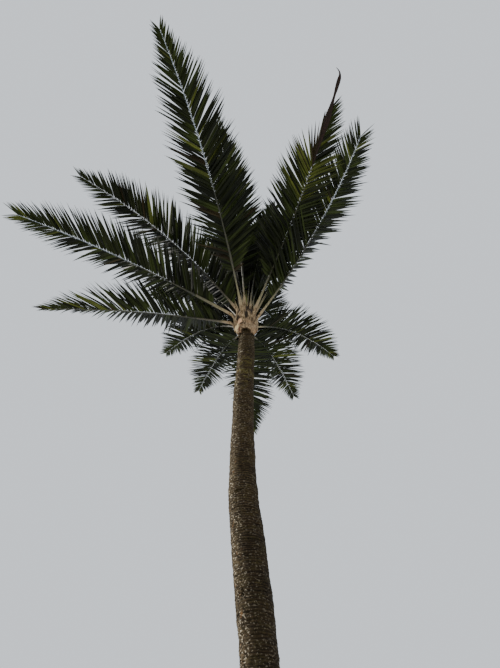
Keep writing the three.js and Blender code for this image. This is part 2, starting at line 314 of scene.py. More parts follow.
def buildTrunk():
    rings, per = trunk["rings"], len(trunk["ringProfile"])
    rows = rings * per + 1
    u = np.arange(trunk["columns"])[None, :] / trunk["columns"]
    v = np.linspace(0, 1, rows)[:, None]
    steps = rng.uniform(*trunk["ringSpread"], rings)
    edges = np.r_[0, np.cumsum(steps)] / steps.sum() * trunk["top"]
    z = np.interp(v * rings, np.arange(rings + 1), edges) * np.ones_like(u)
    loose = smooth(z, 0, trunk["calmFoot"]) * smooth(trunk["top"] - z, 0, trunk["calmTop"])
    z = z + loose * waves(u, v, trunk["ringSway"])
    height = np.clip(z, 0, trunk["heights"][-1])
    radius = along(trunk["heights"], trunk["radii"], height)
    profile = np.array(trunk["ringProfile"])[np.arange(rows) % per][:, None]
    strength = 0.75 + 0.9 * softNoise(u, v, 26, rings)
    radius = radius + loose * trunk["ringRelief"] * profile * strength
    deep = (np.arange(rows) % (per * trunk["deepRing"]) == 0)[:, None]
    radius = radius - loose * deep * trunk["deepCut"] * (0.6 + 0.4 * softNoise(u, v, 9, 60))
    radius = radius + loose * waves(u, v, trunk["lumps"])
    rising, falling = (softNoise(u + slant * v, v, *cells) for slant, *cells in trunk["scarRows"])
    radius = radius + loose * trunk["scarRelief"] * rising * np.abs(falling)
    radius = radius + loose * waves(u, v, trunk["grain"])
    cracks = np.clip(softNoise(u, v, *trunk["crackCells"]) - trunk["crackLevel"], 0, 1)
    radius = radius - loose * trunk["crackDepth"] * cracks
    angle = 2 * np.pi * u
    radius = dented(radius, angle, z, trunk["pits"])
    roots = trunk["rootRelief"] * np.cos(trunk["roots"] * angle + 1.2 * np.sin(2 * angle))
    radius = radius + (roots - trunk["rootDip"]) * np.exp(-z / trunk["rootHeight"])
    lean = along(trunk["heights"], trunk["leans"], height)
    points = np.stack([radius * np.cos(angle) - lean, radius * np.sin(angle), z], axis=-1)
    return tubesPiece("trunkBark", [points])


def barkPaint(w):
    u, v = w.tubePlace()
    phase = v.maths("FRACT", v * trunk["rings"])
    groove = phase.step(0.22, 0.0) + phase.step(0.86, 1.0)
    leftness = u.circle() * -1
    coarse = w.noise(5.0, 4.0)
    flat = w.noise(16.0, 5.0, (1, 1, 4.5))
    fine = w.noise(95.0, 4.0, (1, 1, 1.6))
    base = flat.step(0.36, 0.68).blend(bark["shade"], bark["brown"])
    base = (coarse.step(0.42, 0.7) * 0.5).blend(base, bark["worn"])
    # the lower trunk is darkened: painted shade
    base = (v.step(0.75, 0.5) * 0.45).blend(base, bark["lowerShade"])
    ridge = phase.step(0.3, 0.55) * phase.step(0.95, 0.75) * fine.step(0.42, 0.62)
    base = (ridge * v.step(0.45, 0.75) * 0.5 + ridge * 0.22).blend(base, bark["ridge"])
    # towards the top the grooves are darker, and moss grows in a band and down the left edge
    upper = v.step(0.82, 0.89)
    base = (groove * (0.6 + upper * 0.35)).blend(base, bark["groove"])
    moss = w.noise(9.0, 4.0, (1, 1, 2.5)).step(0.42, 0.66) * w.noise(60.0, 2.0).step(0.38, 0.6)
    band = v.step(0.8, 0.87) * v.step(0.93, 0.88)
    edgeMoss = upper * leftness.step(0.5, 0.95) * 0.5
    base = (moss * (0.12 + band * 0.6 + edgeMoss)).blend(base, bark["moss"])
    # lichen, thickest down the trunk's left side, and crust there and towards its foot; the lighter left side
    # is partly real lichen and crust, partly painted sunlight
    sunny = leftness.step(0.15, 0.95)
    low = v.step(0.3, 0.05)
    spots = w.noise(52.0, 4.0, (1, 1, 1.5)).step(0.56, 0.66)
    lichen = spots * (0.16 + 0.84 * sunny) * coarse.step(0.3, 0.5)
    base = lichen.blend(base, bark["lichen"])
    crust = w.noise(26.0, 7.0, (1, 1, 1.6), 0.7).step(0.4, 0.72) * (sunny * 0.55 + low * 0.2)
    base = crust.blend(base, bark["crust"])
    rust = w.noise(13.0, 3.0).step(0.62, 0.72) * leftness.step(0.1, 0.8)
    return {
        "Base Color": (rust * 0.6).blend(base, bark["rust"]),
        "Roughness": 0.8 + fine * 0.15,
        "Specular IOR Level": bark["specular"],
        "Normal": (fine * 0.6 + flat * 0.8).bump(*bark["bump"]),
    }


finishPiece(buildTrunk(), look("bark", barkPaint), "bark", "trunk")
print("stage trunk done")

# the crown's head: what the fronds are seated on
head = {
    "foot": (-0.26, 0, 6.5503),
    "heights": (0, 0.05, 0.14, 0.26, 0.38, 0.47, 0.52),
    "radii": (0.132, 0.142, 0.15, 0.134, 0.104, 0.07, 0.034),
    "seatDepth": 0.025,
}
# fronds: the same middle lines as the solids, in metres and degrees, with the seat's height on the head.
# Some have more: bare, the share of the rib where the leaflets start; stout, the petiole's width against
# the rib's; long and tip, the length of all leaflets and of the last ones against the rule's; twist, how
# far the blade turns about its rib, from one share of it to another; folded, the share that is not yet
# open; and pale, the shares between which most leaflets are olive
fronds = {
    "frond_overhead": {
        "turn": -105, "rise": 41, "droop": 57, "swing": -1.7, "length": 3.41, "seat": 0.16,
        "bare": 0.17, "stout": 0.62, "tip": 0.6,
    },
    "frond_upper_left": {
        "turn": -152, "rise": 48.6, "droop": 46.6, "swing": 4.8, "length": 2.95, "seat": 0.35,
        "bare": 0.06, "stout": 0.6,
    },
    "frond_far_left": {
        "turn": -164.4, "rise": 27.1, "droop": 30.2, "swing": 10.4, "length": 3.13, "seat": 0.26,
        "stout": 1.25, "tip": 0.95,
    },
    "frond_level_left": {
        "turn": 167.4, "rise": 27.4, "droop": 26.5, "swing": 11, "length": 3.02, "seat": 0.21,
        "bare": 0.09, "twist": (-32, 0.3, 0.8),
    },
    "frond_half_open": {
        "turn": -54, "rise": 46, "droop": 28.5, "swing": -21, "length": 2.99, "seat": 0.2,
        "bare": 0.19, "folded": 0.3, "pale": (0.46, 0.66),
    },
    "frond_upper_right": {
        "turn": -34, "rise": 45, "droop": 2, "swing": -27, "length": 3.1, "seat": 0.13,
        "long": 1.08, "tip": 1.15, "twist": (25, 0.65, 0.3),
    },
    "frond_steep_front": {
        "turn": -100, "rise": 75, "droop": 47, "swing": -8, "length": 3.0, "seat": 0.36,
        "bare": 0.22, "stout": 0.62, "long": 0.92,
    },
    "frond_back_left": {"turn": 126, "rise": 51, "droop": 36, "swing": 2, "length": 2.8, "seat": 0.215},
    "frond_back_mid_left": {"turn": 106, "rise": 47, "droop": 40, "swing": 5, "length": 3.1, "seat": 0.12},
    "frond_back": {"turn": 88, "rise": 38, "droop": 46, "swing": 0, "length": 3.05, "seat": 0.05},
    "frond_back_mid_right": {"turn": 75, "rise": 46, "droop": 42, "swing": -5, "length": 3.1, "seat": 0.12},
    "frond_back_right": {"turn": 52, "rise": 49, "droop": 38, "swing": -3, "length": 2.7, "seat": 0.22},
    "frond_high_left": {
        "turn": 148, "rise": 68, "droop": 50, "swing": 4, "length": 2.6, "seat": 0.32,
        "bare": 0.08,
    },
    "frond_high_back_left": {"turn": 117, "rise": 70, "droop": 56, "swing": 4, "length": 2.95, "seat": 0.33},
    "frond_high_back_right": {"turn": 74, "rise": 70, "droop": 52, "swing": -4, "length": 2.85, "seat": 0.33},
    "frond_young_right": {
        "turn": -15, "rise": 90.5, "droop": -4, "swing": 0, "length": 2.2, "seat": 0.3,
        "bare": 0.34,
    },
    "frond_young_front": {
        "turn": -60, "rise": 84, "droop": 34, "swing": 4, "length": 2.05, "seat": 0.32,
        "bare": 0.4,
    },
    "frond_young_left": {
        "turn": 174, "rise": 84, "droop": 32, "swing": -8, "length": 2.35, "seat": 0.4,
        "bare": 0.25,
    },
    "frond_young_back": {"turn": 92, "rise": 81, "droop": 42, "swing": 8, "length": 2.6, "seat": 0.42},
}
# small fronds round the spear and behind the fan, from the same rule: turn, rise, length, seat, bare
innerRows = (
    (-125, 80, 1.7, 0.44, 0.2),
    (-75, 80, 1.5, 0.44, 0.4),
    (-20, 80, 1.6, 0.44, 0.3),
    (35, 80, 1.75, 0.44, 0.15),
    (75, 80, 1.6, 0.44, 0.15),
    (118, 80, 1.7, 0.44, 0.15),
    (165, 80, 1.6, 0.44, 0.15),
    (140, 70, 1.9, 0.32, 0.12),
    (98, 64, 2.0, 0.3, 0.12),
    (48, 76, 1.6, 0.32, 0.12),
)
inner = [
    {"turn": turn, "rise": rise, "droop": 28, "swing": 4, "length": length, "seat": seat, "bare": bare}
    for turn, rise, length, seat, bare in innerRows
]
# petioles whose blades have broken off
stubs = [
    {"turn": -150, "rise": 74, "droop": 20, "swing": 0, "length": 2.6, "seat": 0.3},
    {"turn": -42, "rise": 52, "droop": 20, "swing": 0, "length": 2.3, "seat": 0.21},
    {"turn": 64, "rise": 62, "droop": 20, "swing": 0, "length": 2.4, "seat": 0.27},
]
allFronds = list(fronds.values()) + inner
rib = {
    "steps": 160,
    "petioleShare": 0.16,
    "endShare": 0.985,
    "seatWidth": 0.06,
    "seatThickness": 0.034,
    "seatReach": 0.045,  # the share over which the wide seat fades into the rib
    "width": 0.034,
    "thickness": 0.024,
    "tipWidth": 0.007,
    "tipThickness": 0.006,
    "grownLength": 2.85,
    "flatTop": 0.4,  # the section's share of the thickness above its widest line
    "keel": 0.62,  # and below it
    "keelRoundness": 0.25,
}


def ribFrame(frond, shares):
    # places and axes along a frond's middle line: ahead, to its left side, and up out of the blade
    def axes(share):
        slope = np.radians(frond["rise"] - frond["droop"] * share**1.3)
        heading = np.radians(frond["turn"] + frond["swing"] * share)
        level = np.cos(slope)
        ahead = np.stack([level * np.cos(heading), level * np.sin(heading), np.sin(slope)], -1)
        side = np.stack([-np.sin(heading), np.cos(heading), 0 * heading], -1)
        return ahead, side

    turn = math.radians(frond["turn"])
    out = along(head["heights"], head["radii"], frond["seat"]) - head["seatDepth"]
    start = np.array(head["foot"]) + (out * math.cos(turn), out * math.sin(turn), frond["seat"])
    ahead = axes((np.arange(rib["steps"]) + 0.5) / rib["steps"])[0]
    line = np.vstack([start, start + np.cumsum(ahead, axis=0) * frond["length"] / rib["steps"]])
    shares = np.asarray(shares, float)
    grid = np.linspace(0, 1, rib["steps"] + 1)
    at = np.stack([np.interp(shares, grid, line[:, k]) for k in range(3)], -1)
    ahead, side = axes(shares)
    up = np.cross(ahead, side)
    turned, turnFrom, turnTo = frond.get("twist", (0, 0, 1))
    twist = np.radians(turned) * smooth(shares, turnFrom, turnTo)[:, None]
    return at, ahead, side * np.cos(twist) + up * np.sin(twist), up * np.cos(twist) - side * np.sin(twist)


def youth(frond):
    return min(frond["length"] / rib["grownLength"], 1)


def ribSize(frond, share):
    foot = np.exp(-share / rib["seatReach"])
    width = mix(rib["width"], rib["tipWidth"], share) + (rib["seatWidth"] - rib["width"]) * foot
    thickness = mix(rib["thickness"], rib["tipThickness"], share)
    thickness = thickness + (rib["seatThickness"] - rib["thickness"]) * foot
    return width * youth(frond), thickness * youth(frond)


def ribRings(at, side, up, width, thickness, sides, wrap=0.0):
    # a rounded keel section; wrap is how far the edges bend up round the stem, per metre
    angle = 2 * np.pi * np.arange(sides) / sides
    x = np.cos(angle)[None, :] * np.reshape(width, (-1, 1)) / 2
    keel = rib["keel"] * np.abs(np.sin(angle)) ** rib["keelRoundness"]
    deep = np.where(np.sin(angle) > 0, rib["flatTop"], keel)
    y = np.sin(angle) * deep * np.reshape(thickness, (-1, 1))
    y = y + np.reshape(wrap, (-1, 1)) * x**2
    return at[:, None, :] + side[:, None, :] * x[..., None] + up[:, None, :] * y[..., None]


# ribs beyond the petiole: keeled, tapering to the tip, dark at first (partly painted shade inside the crown),
# then in one of three tones
ribPiece = {
    "from": 0.18,
    "stations": 56,
    "sides": 8,
    "slim": 0.62,  # this much of the solid rib's width, from slimFrom to slimTo on
    "slimFrom": 0.2,
    "slimTo": 0.35,
    "pale": (
        "frond_overhead",
        "frond_far_left",
        "frond_upper_right",
        "frond_high_back_right",
        "frond_young_right",
    ),
    "dim": ("frond_half_open", "frond_upper_left"),  # and the small inner ones
    # the dark start: the rib's own dark olive, partly painted shade inside the crown
    "start": ((0.016, 0.016, 0.008), (0.038, 0.036, 0.019)),
    # pale: the ribs' own pale colour with a painted bluish sky reflection; dim: painted shade
    "tones": {
        "pale": ((0.115, 0.14, 0.17), (0.24, 0.285, 0.34)),
        "dull": ((0.042, 0.04, 0.022), (0.09, 0.085, 0.052)),
        "dim": ((0.025, 0.023, 0.012), (0.06, 0.055, 0.032)),
    },
}


def buildRibs(name, chosen):
    tubes = []
    shares = np.linspace(ribPiece["from"], rib["endShare"], ribPiece["stations"])
    slim = mix(1.0, ribPiece["slim"], smooth(shares, ribPiece["slimFrom"], ribPiece["slimTo"]))
    for frond in chosen:
        at, _, side, up = ribFrame(frond, shares)
        width, thickness = ribSize(frond, shares)
        tubes.append(ribRings(at, side, up, width * slim, thickness * slim, ribPiece["sides"]))
    return tubesPiece(name, tubes)


def ribPaint(near, far):
    def paint(w):
        patch = w.noise(9.0, 3.0)
        streak = w.noise(120.0, 2.0)
        out = w.tubePlace()[1]
        base = patch.step(0.35, 0.7).blend(*ribPiece["start"])
        base = out.step(0.3, 0.62).blend(base, patch.step(0.35, 0.7).blend(near, far))
        return {
            "Base Color": (streak.step(0.55, 0.75) * 0.4).blend(base, near),
            "Roughness": 0.48 + patch * 0.15,
            "Specular IOR Level": 0.3,
            "Normal": streak.bump(0.3, 0.002),
        }

    return paint


paleReflectingOnes = [fronds[name] for name in ribPiece["pale"]]
dimShadedOnes = [fronds[name] for name in ribPiece["dim"]] + inner
dullOnes = [frond for frond in allFronds if frond not in paleReflectingOnes + dimShadedOnes]
for tone, chosen in {"pale": paleReflectingOnes, "dull": dullOnes, "dim": dimShadedOnes}.items():
    tonePaint = ribPaint(*ribPiece["tones"][tone])
    finishPiece(buildRibs(tone + "Ribs", chosen), look(tone + "Rib", tonePaint), "leaf", *fronds)
print("stage ribs done")

# petioles: from a broad base that clasps the stem out to the first leaflets
petiole = {
    "claspFrom": 0.35,  # a base starts this share of the way up to its seat
    "claspWidth": 0.1,
    "claspThickness": 0.012,
    "youngClasp": 0.75,  # the smallest frond's is this much as wide
    "wrap": 3.6,
    "rise": 0.02,  # how far out the base leans before it bends
    "bend": 0.45,
    "joinShare": 0.04,  # where the base has become a petiole
    "fullShare": 0.11,  # and where it has its own width
    "endShare": 0.2,
    "sides": 14,
    "baseStations": 22,
    "stations": 16,
    "sunk": 0.005,  # its foot lies this deep in the collar
    "oversize": 1.02,  # it covers the rib's start
    "stout": 0.9,
    "shaded": (
        "frond_upper_left",
        "frond_level_left",
        "frond_back_left",
        "frond_back_mid_left",
        "frond_high_left",
    ),
    "streaks": ((0.095, 0.074, 0.032), (0.31, 0.25, 0.125)),
    "patch": (0.1, 0.1, 0.042),
    "warmFoot": (0.26, 0.18, 0.1),
    # where along the petiole it darkens, and to what: in the lit tone partly olive colour, partly painted
    # shade under the crown; the shaded tone is painted shade
    "litTone": (0.1, 0.9, (0.042, 0.043, 0.022)),
    "shadedTone": (-0.2, 0.5, (0.018, 0.016, 0.009)),
}


def petioleRings(frond):
    # the clasping base is a cubic curve from the collar's face up and out into the rib's line
    turn = math.radians(frond["turn"])
    outward = np.array([math.cos(turn), math.sin(turn), 0])
    low = frond["seat"] * petiole["claspFrom"]
    radius = along(head["heights"], head["radii"], low) - petiole["sunk"]
    start = np.array(head["foot"]) + outward * radius + (0, 0, low)
    join = np.array([petiole["joinShare"]])
    joinAt, joinAhead, side, _ = ribFrame(frond, join)
    reach = np.linalg.norm(joinAt[0] - start) * petiole["bend"]
    second = start + np.array([0, 0, reach]) + outward * petiole["rise"]
    third = joinAt[0] - joinAhead[0] * reach
    t = np.linspace(0, 1, petiole["baseStations"])[:, None]
    at = (1 - t) ** 3 * start + 3 * (1 - t) ** 2 * t * second + 3 * (1 - t) * t**2 * third + t**3 * joinAt[0]
    ahead = unit(np.gradient(at, axis=0))
    side = np.repeat(side, len(at), axis=0)
    up = unit(np.cross(ahead, side))
    width, thickness = ribSize(frond, join)
    ease = smooth(t[:, 0], 0, 0.75)
    clasp = petiole["claspWidth"] * mix(petiole["youngClasp"], 1, youth(frond))
    widths = mix(clasp, width, ease**0.6)
    thicknesses = mix(petiole["claspThickness"], thickness, ease)
    base = ribRings(at, side, up, widths, thicknesses, petiole["sides"], (1 - ease) * petiole["wrap"])
    shares = np.linspace(petiole["joinShare"], petiole["endShare"], petiole["stations"])
    at, _, side, up = ribFrame(frond, shares)
    width, thickness = ribSize(frond, shares)
    stout = frond.get("stout", petiole["stout"])
    ease = smooth(shares, petiole["joinShare"], petiole["fullShare"])
    width = width * mix(petiole["oversize"], stout, ease)
    stalk = ribRings(at, side, up, width, thickness * petiole["oversize"], petiole["sides"])
    return base, stalk


# torn patches on the collar and the bases, the darkest of them painted shade in holes and slits: angle round
# the head, height above its foot, reach across, reach up, colour
tornRadius = 0.148
torn = (
    (-152, -0.02, 0.05, 0.085, (0.8, 0.6, 0.32)),
    (-121, 0.06, 0.03, 0.05, (0.7, 0.42, 0.24)),
    (-123, -0.1, 0.014, 0.06, (0.1, 0.035, 0.018)),
    (-113, 0.022, 0.026, 0.022, (0.004, 0.0025, 0.0015)),
    (-96, 0.0, 0.014, 0.014, (0.03, 0.018, 0.01)),
    (-89, 0.175, 0.024, 0.085, (0.006, 0.004, 0.002)),
    (-133, 0.15, 0.018, 0.07, (0.02, 0.012, 0.007)),
    (-60, 0.1, 0.012, 0.06, (0.05, 0.03, 0.015)),
    (-20, -0.1, 0.05, 0.06, (0.25, 0.15, 0.08)),
    (60, -0.06, 0.06, 0.07, (0.7, 0.5, 0.28)),
    (160, -0.08, 0.03, 0.06, (0.16, 0.06, 0.03)),
)
claspingBase = {
    "streaks": ((0.08, 0.052, 0.026), (0.34, 0.25, 0.145)),
    "patch": (0.26, 0.15, 0.075),
    "stain": (0.05, 0.03, 0.015),
    "speck": (0.035, 0.022, 0.012),
    # painted shade along each base's edges
    "edge": (0.03, 0.018, 0.01),
}


def collarPoint(angle, height, radius):
    turn = math.radians(angle)
    place = (radius * math.cos(turn), radius * math.sin(turn), height)
    return tuple(float(a + b) for a, b in zip(head["foot"], place))


# the torn patches, and painted shade in the holes and slits
def tornAndShadedMarks(w, base):
    ragged = w.noise(55.0, 3.0) * 0.9
    for angle, height, across, tall, colour in torn:
        reach = (across, across * 2, tall)
        mark = (w.spot(collarPoint(angle, height, tornRadius), reach) + ragged).step(1.6, 1.1)
        base = (mark * 0.93).blend(base, colour)
    return base


def basePaint(w):
    streak = w.noise(30.0, 4.0, (3.0, 3.0, 0.3))
    patch = w.noise(9.0, 3.0)
    stain = w.noise(17.0, 4.0, (1, 1, 0.5)).step(0.58, 0.68)
    speck = w.noise(60.0, 3.0).step(0.62, 0.72)
    base = streak.step(0.36, 0.66).blend(*claspingBase["streaks"])
    base = (patch.step(0.55, 0.72) * 0.6).blend(base, claspingBase["patch"])
    base = (stain * 0.8).blend(base, claspingBase["stain"])
    base = (speck * 0.7).blend(base, claspingBase["speck"])
    # each base is dark along both edges, painted shade where the next one lies under it
    around, out = w.tubePlace()
    edge = around.circle()
    edge = (edge * edge + w.noise(14.0, 2.0) * 0.3).step(0.8, 1.05) * out.step(1.0, 0.6)
    return {
        "Base Color": tornAndShadedMarks(w, (edge * 0.9).blend(base, claspingBase["edge"])),
        "Roughness": 0.78,
        "Specular IOR Level": 0.12,
        "Normal": streak.bump(0.7, 0.004),
    }


def petiolePaint(darkFrom, darkTo, dark):
    def paint(w):
        streak = w.noise(30.0, 3.0, (2.0, 2.0, 0.6))
        patch = w.noise(5.0, 3.0)
        out = w.tubePlace()[1]
        base = streak.step(0.34, 0.7).blend(*petiole["streaks"])
        base = (patch.step(0.4, 0.65) * 0.5).blend(base, petiole["patch"])
        base = (out.step(darkFrom, darkTo) * 0.85).blend(base, dark)
        return {
            "Base Color": (out.step(0.3, 0.0) * 0.7).blend(base, petiole["warmFoot"]),
            "Roughness": 0.55,
            "Normal": streak.bump(0.4, 0.002),
        }

    return paint


bases, stalks = zip(*(petioleRings(frond) for frond in allFronds + stubs))
finishPiece(tubesPiece("petioleBases", bases), look("claspingBase", basePaint), "leaf_base", *fronds)
# the shaded fronds' petioles take the darker copy of the paint: painted shade
shaded = [fronds[name] for name in petiole["shaded"]]
lit = [stalk for stalk, frond in zip(stalks, allFronds + stubs) if frond not in shaded]
dull = [stalk for stalk, frond in zip(stalks, allFronds + stubs) if frond in shaded]
litPaint = petiolePaint(*petiole["litTone"])
shadedPaint = petiolePaint(*petiole["shadedTone"])
finishPiece(tubesPiece("petioles", lit), look("petiole", litPaint), "leaf", *fronds)
finishPiece(tubesPiece("shadedPetioles", dull), look("shadedPetiole", shadedPaint), "leaf", *fronds)
print("stage petioles done")

# collar: the old leaf bases that sheathe the stem under the fronds, torn into hanging flaps
collar = {
    "columns": 200,
    "rows": 84,
    "lowest": -0.14,  # below the head's foot
    "top": 0.5,
    "rimWaves": ((0.009, 30, 2), (0.012, 7, 2)),
    # where the rim arches up between the flaps: angle round the head, half width, height, squareness
    "arches": ((-88, 30, 0.044, 6), (12, 43, 0.15, 4), (90, 50, 0.13, 2), (168, 43, 0.15, 4)),
    "flapRadius": 0.144,
    "rimRadius": 0.108,  # the flaps bend in to the stem at their ends
    "behindRadius": 0.102,  # and at the back the whole rim does
    # a flap's section from its inside down round its rim: in from its outside, and up from the rim
    "section": ((0.066, 0.035), (0.03, 0.016), (0.013, 0.006), (0.008, 0.0), (0.002, 0.003)),
    "fibres": ((0.003, 84, 5),),
    "lumps": ((0.005, 13, 7),),
    "grain": ((0.004, 40, 30),),
    # holes and slits: angle round the head, height above its foot, half width, half height, depth
    "holes": (
        (-114, 0.026, 0.011, 0.011, 0.03),
        (-96, -0.02, 0.009, 0.012, 0.012),
        (-70, 0.0, 0.006, 0.03, 0.01),
        (-148, 0.06, 0.012, 0.016, 0.025),
        (-30, -0.03, 0.008, 0.02, 0.012),
        (75, 0.02, 0.012, 0.014, 0.022),
        (160, -0.01, 0.008, 0.026, 0.015),
    ),
    "streaks": ((0.075, 0.046, 0.025), (0.31, 0.22, 0.13)),
    "light": (0.45, 0.345, 0.22),
    "patch": (0.2, 0.11, 0.055),
    "speck": (0.035, 0.022, 0.012),
    # painted shade: between the petioles, and inside under the rim
    "gap": (0.022, 0.014, 0.008),  # between the petioles
    "inside": (0.06, 0.038, 0.02),
}


def buildCollar():
    section = np.array(collar["section"])
    u = np.arange(collar["columns"])[None, :] / collar["columns"]
    v = np.linspace(0, 1, collar["rows"])[:, None]
    angle = 2 * np.pi * u
    lowest, top = collar["lowest"], collar["top"]
    rim = lowest + waves(u, v[:1], collar["rimWaves"])
    for turn, halfWidth, rise, square in collar["arches"]:
        away = np.degrees(awayFrom(angle, turn))
        rim = rim + rise * np.clip(1 - (away / halfWidth) ** square, 0, 1) ** 0.5
    outside = collar["rows"] - len(section)
    share = np.linspace(0, 1, outside)[:, None]
    z = np.vstack([rim + section[:, 1:], rim + 0.01 + (top - rim - 0.01) * share**1.1])
    inward = np.r_[section[:, 0], np.zeros(outside)][:, None]
    radius = along(head["heights"], head["radii"], np.clip(z, 0, head["heights"][-1]))
    radius = mix(collar["flapRadius"], radius, smooth(z, -0.02, 0.14))
    hug = 1 - smooth(z, lowest - 0.02, lowest + 0.07)
    radius = radius - hug * (collar["flapRadius"] - collar["rimRadius"])
    behind = smooth(np.sin(angle), 0.0, 0.45) * (1 - smooth(z - rim, 0.0, 0.1))
    radius = mix(radius, collar["behindRadius"], behind) - inward
    skin = 1 - np.clip(inward / 0.018, 0, 1)
    radius = radius + skin * waves(u, v, collar["fibres"])
    radius = radius + waves(u, v, collar["lumps"]) + skin * waves(u, v, collar["grain"])
    radius = dented(radius, angle, z, collar["holes"], skin)
    x = head["foot"][0] + radius * np.cos(angle)
    y = radius * np.sin(angle)
    return tubesPiece("collar", [np.stack([x, y, head["foot"][2] + z], -1)])


def collarPaint(w):
    height = w.node("SeparateXYZ", {}, {"Vector": w.place()}, out=2)
    streak = w.noise(34.0, 4.0, (3.0, 3.0, 0.35))
    base = streak.step(0.36, 0.66).blend(*collar["streaks"])
    base = (w.noise(24.0, 4.0).step(0.5, 0.66) * 0.5).blend(base, collar["light"])
    base = (w.noise(13.0, 3.0).step(0.5, 0.68) * 0.6).blend(base, collar["patch"])
    base = (w.noise(70.0, 3.0).step(0.6, 0.7) * 0.75).blend(base, collar["speck"])
    base = tornAndShadedMarks(w, base)
    # painted shade between the petioles, and under the rim
    foot = head["foot"][2]
    base = (height.step(foot + 0.09, foot + 0.16) * 0.9).blend(base, collar["gap"])
    inside = w.tubePlace()[1].step(0.05, 0.035)
    return {
        "Base Color": (inside * 0.8).blend(base, collar["inside"]),
        "Roughness": 0.8,
        "Specular IOR Level": 0.12,
        "Normal": streak.bump(0.8, 0.005),
    }


finishPiece(buildCollar(), look("collarFibre", collarPaint), "leaf_base", "crown_head")

# torn strips that hang out from under the rim
strip = {
    # angle round the head, the upper end's radius and height, length, width, how far out the lower end is
    "rows": (
        (-165, 0.085, -0.11, 0.12, 0.028, 0.06),
        (-22, 0.085, -0.1, 0.07, 0.024, 0.01),
        (100, 0.085, -0.04, 0.1, 0.02, 0.03),
    ),
    "thickness": 0.004,
    "taper": 0.6,
    "stations": 12,
    "sides": 8,
}


def stripRings(angle, radius, height, length, width, lean):
    turn = math.radians(angle)
    out = np.array([math.cos(turn), math.sin(turn), 0])
    side = np.array([-math.sin(turn), math.cos(turn), 0])
    t = np.linspace(0, 1, strip["stations"])[:, None]
    start = np.array(collarPoint(angle, height, radius))
    at = start - upward * length * t + out * lean * t**0.7
    sides = np.repeat(side[None, :], len(at), axis=0)
    ups = np.repeat(-out[None, :], len(at), axis=0)
    widths = width * (1 - strip["taper"] * t[:, 0] ** 2)
    return ribRings(at, sides, ups, widths, np.full(len(at), strip["thickness"]), strip["sides"])


stripTubes = [stripRings(*row) for row in strip["rows"]]
finishPiece(tubesPiece("tornStrips", stripTubes), look("tornStrip", litPaint), "leaf_base")
print("stage collar done")

# leaflets, in tufts of one to three along both sides of every rib
bladeShape = {
    "shares": (0, 0.07, 0.26, 0.5, 0.76),
    "widths": (0.35, 0.75, 1.0, 0.88, 0.5),
    "thinning": 0.75,
}
leaflets = {
    "perSide": 150,
    "from": 0.125,  # where on the rib they start
    "startLength": 0.35,  # the first ones are this much as long
    "startReach": 0.08,
    "crowding": 1.15,  # above 1 they stand closer together towards the foot
    "length": 0.6,
    "lengthSpread": (0.86, 1.06),
    "tip": 0.66,  # the last ones are this much as long as the solids' rule gives
    "tipFrom": 0.7,
    "width": 0.0325,
    "widthSpread": (0.85, 1.2),
    "footWidth": 1.05,
    "tipWidth": 0.5,
    "thickness": 0.004,
    "foldSpread": (0.4, 0.8),
    "sagSpread": (0.0, 0.07),
    "footAngle": 64,
    "tipAngle": 26,
    "slowLean": 0.68,  # how much of the change comes gradually, the rest close to the tip
    "foldedAngle": 7,
    "foldedSide": 0.15,  # how much of the folded share the left side has
    "driedBelow": 22,  # leaflets folded closer to the rib than this are dried
    "driedLength": 0.3,
    "footLift": 34,
    "tipLift": 9,
    "tuftSize": 3,
    "tuftPull": 0.18,
    "tuftTurn": 2.5,  # how much the tufts and the leaflets in one differ, degrees
    "leafletTurn": 2,
    "leafletLift": 22,
    "roll": 14,
    "rollSpread": 25,
    "oliveFrom": 0.4,
    "tipLightFrom": 0.8,  # from here on some are thin and paler: painted light showing through them
}
# plain base colours, and how often a tuft takes each
tints = {
    "dark": {"share": 0.34, "colour": (0.0035, 0.0046, 0.0014)},
    "deep": {"share": 0.3, "colour": (0.0065, 0.0085, 0.0018)},
    "mid": {"share": 0.26, "colour": (0.0125, 0.0175, 0.0032)},
    "olive": {"share": 0.08, "colour": (0.04, 0.047, 0.0075)},
    "brown": {"share": 0.02, "colour": (0.015, 0.011, 0.0045)},
}
tintPlaces = {tint: place for place, tint in enumerate(tints)}


def bladesPiece(name, blades):
    # all blades of one tint at once, each a few faces round a folded, sagging blade with a keel under it
    foot, ahead, wide, face = (np.array([b[k] for b in blades]) for k in ("foot", "ahead", "wide", "face"))
    length, width, fold, sag = (
        np.array([b[k] for b in blades])[:, None] for k in ("length", "width", "fold", "sag")
    )
    points = []
    for share, wideness in zip(bladeShape["shares"], bladeShape["widths"]):
        middle = foot + ahead * (length * share) - upward * (length * sag * share**2)
        half = width * wideness / 2
        lifted = face * (half * fold)
        deep = face * leaflets["thickness"] * (1 - bladeShape["thinning"] * share)
        points += [middle - wide * half + lifted, middle, middle + wide * half + lifted, middle - deep]
    points.append(foot + ahead * length - upward * (length * sag))
    verts = np.stack(points, axis=1)
    count, each = verts.shape[:2]
    last = each - 5
    faces = [(0, 1, 2, 3)]
    for a in range(0, last, 4):
        faces += [(a + k, a + 4 + k, a + 4 + (k + 1) % 4, a + (k + 1) % 4) for k in range(4)]
    faces += [(last + k, each - 1, last + (k + 1) % 4) for k in range(4)]
    allFaces = [tuple(i + n * each for i in f) for n in range(count) for f in faces]
    mesh = bpy.data.meshes.new(name)
    mesh.from_pydata(verts.reshape(-1, 3).tolist(), [], allFaces)
    mesh.update()
    return addObject(name, mesh)


def leafletAngle(frond, t, sign):
    folded = frond.get("folded", 0) * (leaflets["foldedSide"] if sign > 0 else 1)
    close = smooth(t, 1 - folded * 1.3, 1 - folded) if folded else 0
    lean = leaflets["slowLean"] * t**0.75 + (1 - leaflets["slowLean"]) * t**8
    return mix(mix(leaflets["footAngle"], leaflets["tipAngle"], lean), leaflets["foldedAngle"], close)


